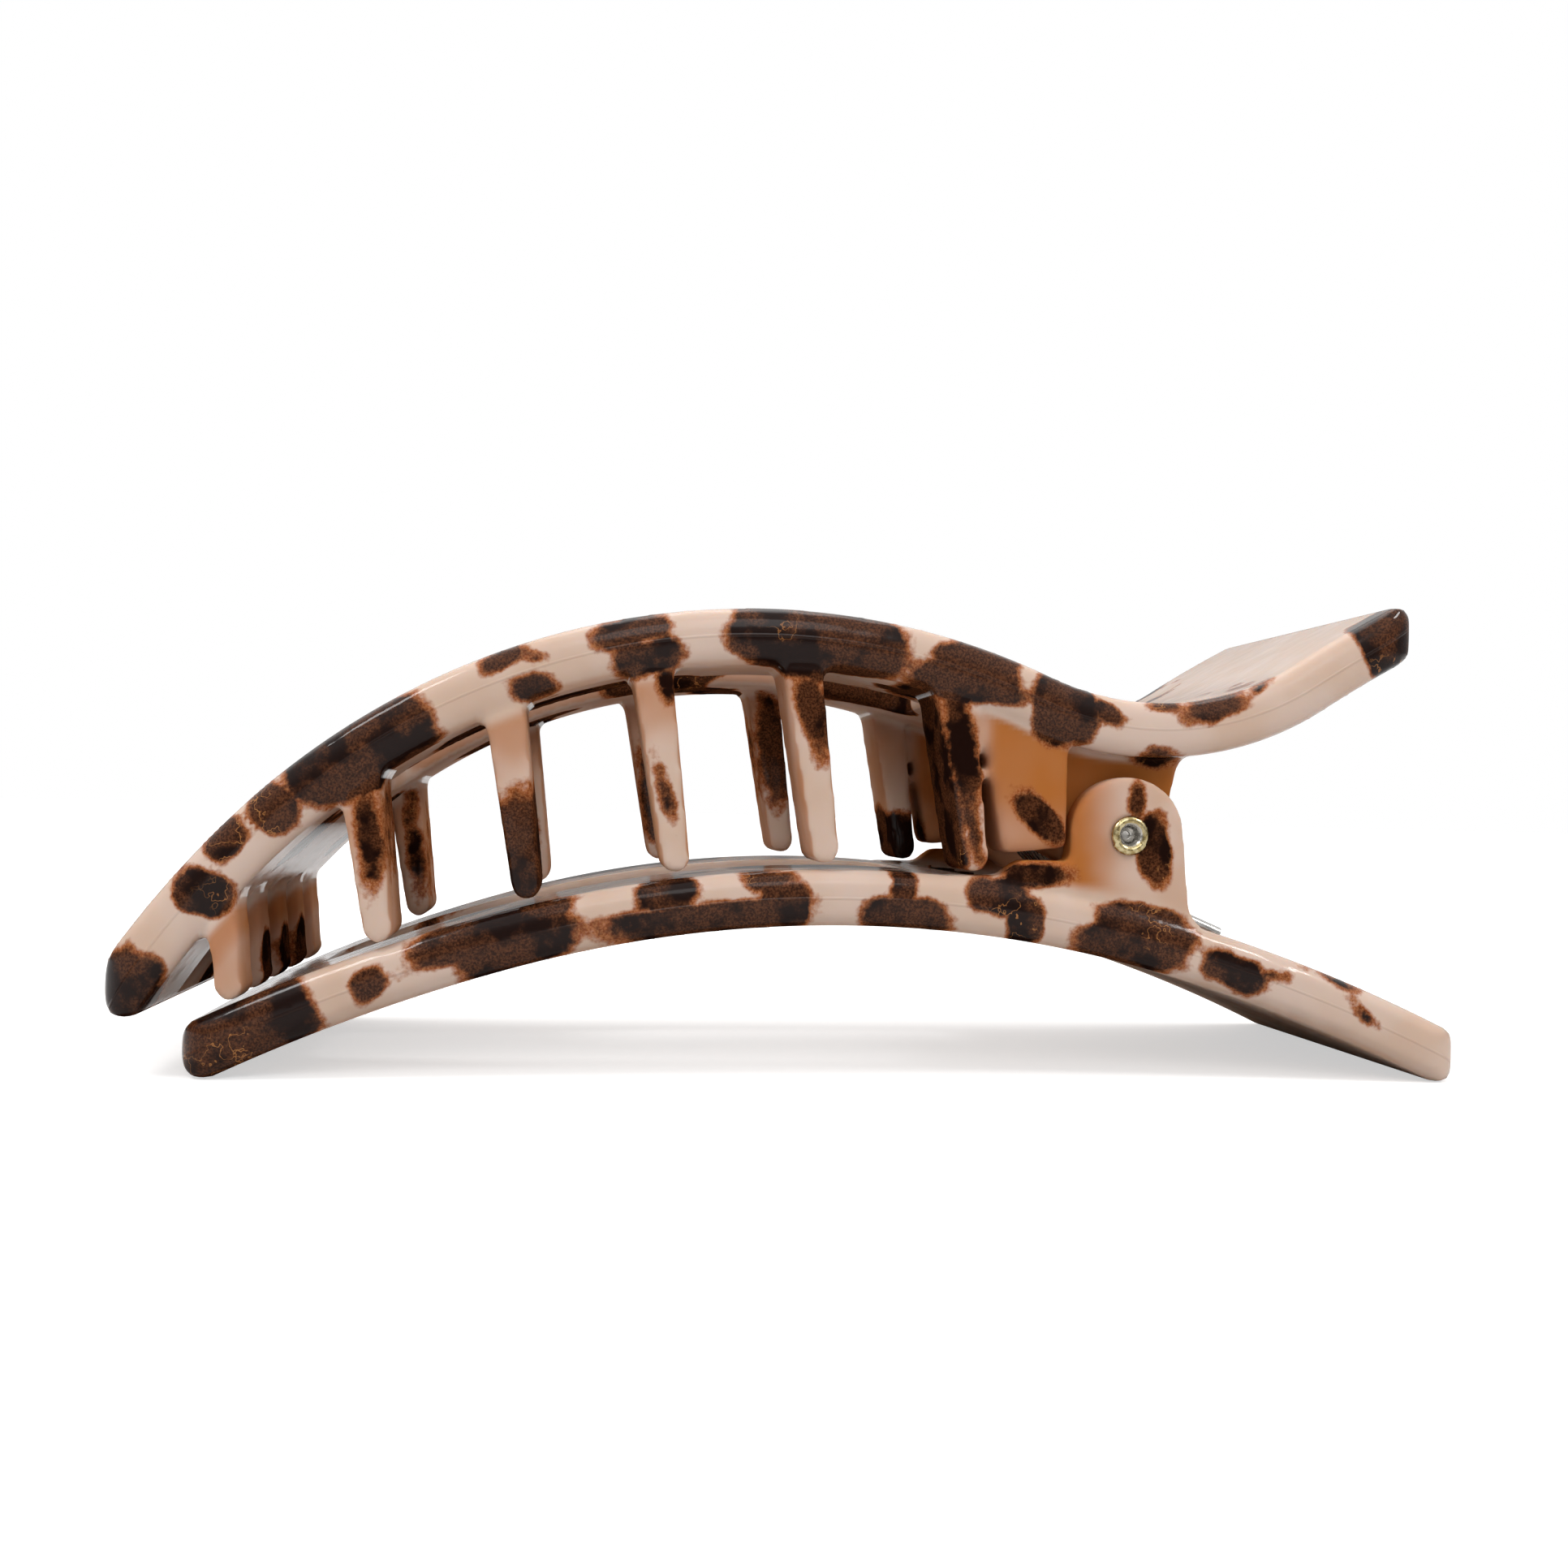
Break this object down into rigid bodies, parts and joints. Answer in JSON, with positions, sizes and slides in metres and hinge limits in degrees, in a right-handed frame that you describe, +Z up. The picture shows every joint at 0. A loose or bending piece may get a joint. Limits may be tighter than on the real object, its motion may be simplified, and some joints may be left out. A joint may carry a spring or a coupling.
{
  "type": "hair claw clip",
  "caption": "Flat spring claw clip for hair: two curved toothed jaws with windows, hinged on one rivet, with thumb tabs at the back.",
  "frame": {"origin": "middle of the footprint, on the surface that the closed clip stands on", "axes": "+X from the toothed tip to the thumb tab, +Y across the clip's width, +Z up through the upper jaw"},
  "size_m": [0.1102, 0.0376, 0.04],
  "materials": {
    "tortoise_plastic": "glossy cloudy blush plastic with dark brown tortoise blotches",
    "brass": "bright brass, silver-grey inside the rolled end",
    "spring_steel": "drawn spring wire"
  },
  "bodies": {
    "lower_body": {"lower_jaw": "tortoise_plastic", "hinge_rivet": "brass", "torsion_spring": "spring_steel"},
    "upper_body": {"upper_jaw": "tortoise_plastic"}
  },
  "joints": [
    {"name": "jaw_hinge", "type": "hinge", "parent": "lower_body", "child": "upper_body", "pos_m": [0.0258, 0, 0.02026], "axis": [0, 1, 0], "range_deg": [0, 60], "stiffness_Nm_per_rad": 0.3, "springref_deg": -20.05, "deforming": ["torsion_spring"]}
  ]
}
